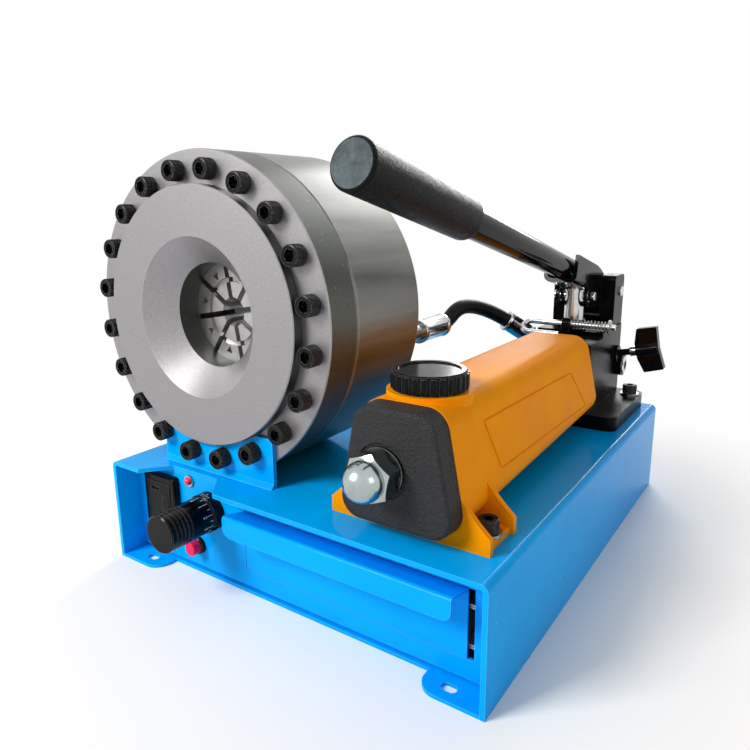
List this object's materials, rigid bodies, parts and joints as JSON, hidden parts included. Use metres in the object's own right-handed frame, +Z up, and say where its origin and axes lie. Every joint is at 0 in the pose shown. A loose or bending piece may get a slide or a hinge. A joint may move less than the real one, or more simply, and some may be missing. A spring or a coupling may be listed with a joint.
{
  "type": "hand hydraulic hose crimping machine",
  "caption": "Bench hose crimper: round die head and hand hydraulic pump on a flat base with a drawer, dial, lamp, button and battery slot.",
  "frame": {"origin": "on the bench, under the middle of the base", "axes": "+X to the right as seen from the front, +Y to the back, +Z up; the die head and the drawer face -Y"},
  "size_m": [0.4551, 0.5103, 0.391],
  "materials": {
    "blue_paint": "gloss",
    "zinc_sheet": "satin",
    "black_plastic": "matte",
    "red_plastic": "gloss",
    "red_lens": "gloss",
    "bright_steel": "polished",
    "machined_steel": "satin",
    "black_oxide": "satin",
    "orange_paint": "satin",
    "black_paint": "gloss",
    "black_rubber": "matte"
  },
  "bodies": {
    "base": {"base_shell": "blue_paint", "bottom_plate": "blue_paint", "front_panel": "blue_paint", "rear_panel": "blue_paint", "head_bracket": "blue_paint", "slide_rails": "zinc_sheet", "drawer_cradle": "zinc_sheet", "battery_box": "black_plastic", "lamp_bezel": "bright_steel", "button_bezel": "black_plastic", "lamp_lens": "red_lens", "dial_base": "black_plastic", "front_flange": "machined_steel", "cylinder_body": "machined_steel", "rear_sleeve": "machined_steel", "flange_bolts": "black_oxide", "pump_tank": "orange_paint", "tank_end_cap": "black_plastic", "tie_rod_nut": "bright_steel", "tie_rod_washer": "bright_steel", "pump_head": "black_paint", "gland_nut": "black_paint", "port_plug": "bright_steel", "foot_washers": "bright_steel", "foot_bolts": "black_oxide", "pivot_pin": "bright_steel", "head_adapter": "bright_steel", "head_ferrule": "bright_steel", "pump_ferrule": "bright_steel", "pump_adapter": "bright_steel", "hose": "black_rubber"},
    "drawer": {"drawer_front": "blue_paint", "drawer_tray": "zinc_sheet", "slide_runners": "zinc_sheet"},
    "battery_carrier": {"battery_tray": "black_plastic"},
    "push_button": {"button_cap": "red_plastic"},
    "dial": {"dial_thimble": "black_plastic", "dial_spindle": "bright_steel"},
    "piston": {"ring_piston": "machined_steel"},
    "handle": {"handle_yoke": "black_paint", "handle_tube": "black_paint", "handle_grip": "black_rubber"},
    "plunger": {"plunger": "bright_steel", "plunger_pin": "bright_steel"},
    "release_valve": {"valve_stem": "black_oxide", "valve_collar": "bright_steel", "valve_knob": "black_plastic"},
    "filler": {"filler_cap": "black_plastic"},
    "hook": {"lock_hook": "bright_steel", "lock_washer": "bright_steel", "lock_spring": "bright_steel"},
    "die_1": {"die_1": "machined_steel"},
    "die_2": {"die_2": "machined_steel"},
    "die_3": {"die_3": "machined_steel"},
    "die_4": {"die_4": "machined_steel"},
    "die_5": {"die_5": "machined_steel"},
    "die_6": {"die_6": "machined_steel"},
    "die_7": {"die_7": "machined_steel"},
    "die_8": {"die_8": "machined_steel"}
  },
  "joints": [
    {"name": "drawer_slide", "type": "slide", "parent": "base", "child": "drawer", "axis": [0, -1, 0], "range_m": [0, 0.18]},
    {"name": "battery_slide", "type": "slide", "parent": "base", "child": "battery_carrier", "axis": [0, -1, 0], "range_m": [0, 0.03]},
    {"name": "button_press", "type": "slide", "parent": "base", "child": "push_button", "axis": [0, 1, 0], "range_m": [0, 0.003], "stiffness_N_per_m": 400, "springref_m": -0.002},
    {"name": "dial_turn", "type": "hinge", "parent": "base", "child": "dial", "pos_m": [-0.0915, -0.25, 0.0675], "axis": [0, -1, 0], "range_deg": [-540, 540]},
    {"name": "piston_stroke", "type": "slide", "parent": "base", "child": "piston", "axis": [0, -1, 0], "range_m": [0, 0.0178]},
    {"name": "die_1_close", "type": "slide", "parent": "base", "child": "die_1", "axis": [-0.8434, 0, -0.5373], "range_m": [0, 0.0065]},
    {"name": "die_2_close", "type": "slide", "parent": "base", "child": "die_2", "axis": [-0.2164, 0, -0.9763], "range_m": [0, 0.0065]},
    {"name": "die_3_close", "type": "slide", "parent": "base", "child": "die_3", "axis": [0.5373, 0, -0.8434], "range_m": [0, 0.0065]},
    {"name": "die_4_close", "type": "slide", "parent": "base", "child": "die_4", "axis": [0.9763, 0, -0.2164], "range_m": [0, 0.0065]},
    {"name": "die_5_close", "type": "slide", "parent": "base", "child": "die_5", "axis": [0.8434, 0, 0.5373], "range_m": [0, 0.0065]},
    {"name": "die_6_close", "type": "slide", "parent": "base", "child": "die_6", "axis": [0.2164, 0, 0.9763], "range_m": [0, 0.0065]},
    {"name": "die_7_close", "type": "slide", "parent": "base", "child": "die_7", "axis": [-0.5373, 0, 0.8434], "range_m": [0, 0.0065]},
    {"name": "die_8_close", "type": "slide", "parent": "base", "child": "die_8", "axis": [-0.9763, 0, 0.2164], "range_m": [0, 0.0065]},
    {"name": "handle_swing", "type": "hinge", "parent": "base", "child": "handle", "pos_m": [0.1165, 0.223, 0.24], "axis": [-1, 0, 0], "range_deg": [-13, 24]},
    {"name": "plunger_stroke", "type": "slide", "parent": "base", "child": "plunger", "axis": [0, 0, 1], "range_m": [-0.0134, 0.0246]},
    {"name": "valve_turn", "type": "hinge", "parent": "base", "child": "release_valve", "pos_m": [0.1545, 0.211, 0.1665], "axis": [0.9703, 0, 0.2419], "range_deg": [0, 360]},
    {"name": "filler_turn", "type": "hinge", "parent": "base", "child": "filler", "pos_m": [0.1165, -0.1705, 0.21], "axis": [0, 0, 1], "range_deg": [0, 360]},
    {"name": "hook_pull", "type": "slide", "parent": "base", "child": "hook", "axis": [-1, 0, 0], "range_m": [0, 0.012], "stiffness_N_per_m": 300, "springref_m": -0.004, "deforming": ["lock_spring"]}
  ],
  "couplings": [
    {"joint": "die_1_close", "follows": "piston_stroke", "ratio": 0.36397},
    {"joint": "die_2_close", "follows": "piston_stroke", "ratio": 0.36397},
    {"joint": "die_3_close", "follows": "piston_stroke", "ratio": 0.36397},
    {"joint": "die_4_close", "follows": "piston_stroke", "ratio": 0.36397},
    {"joint": "die_5_close", "follows": "piston_stroke", "ratio": 0.36397},
    {"joint": "die_6_close", "follows": "piston_stroke", "ratio": 0.36397},
    {"joint": "die_7_close", "follows": "piston_stroke", "ratio": 0.36397},
    {"joint": "die_8_close", "follows": "piston_stroke", "ratio": 0.36397},
    {"joint": "plunger_stroke", "follows": "handle_swing", "m_per_rad": 0.0585}
  ]
}
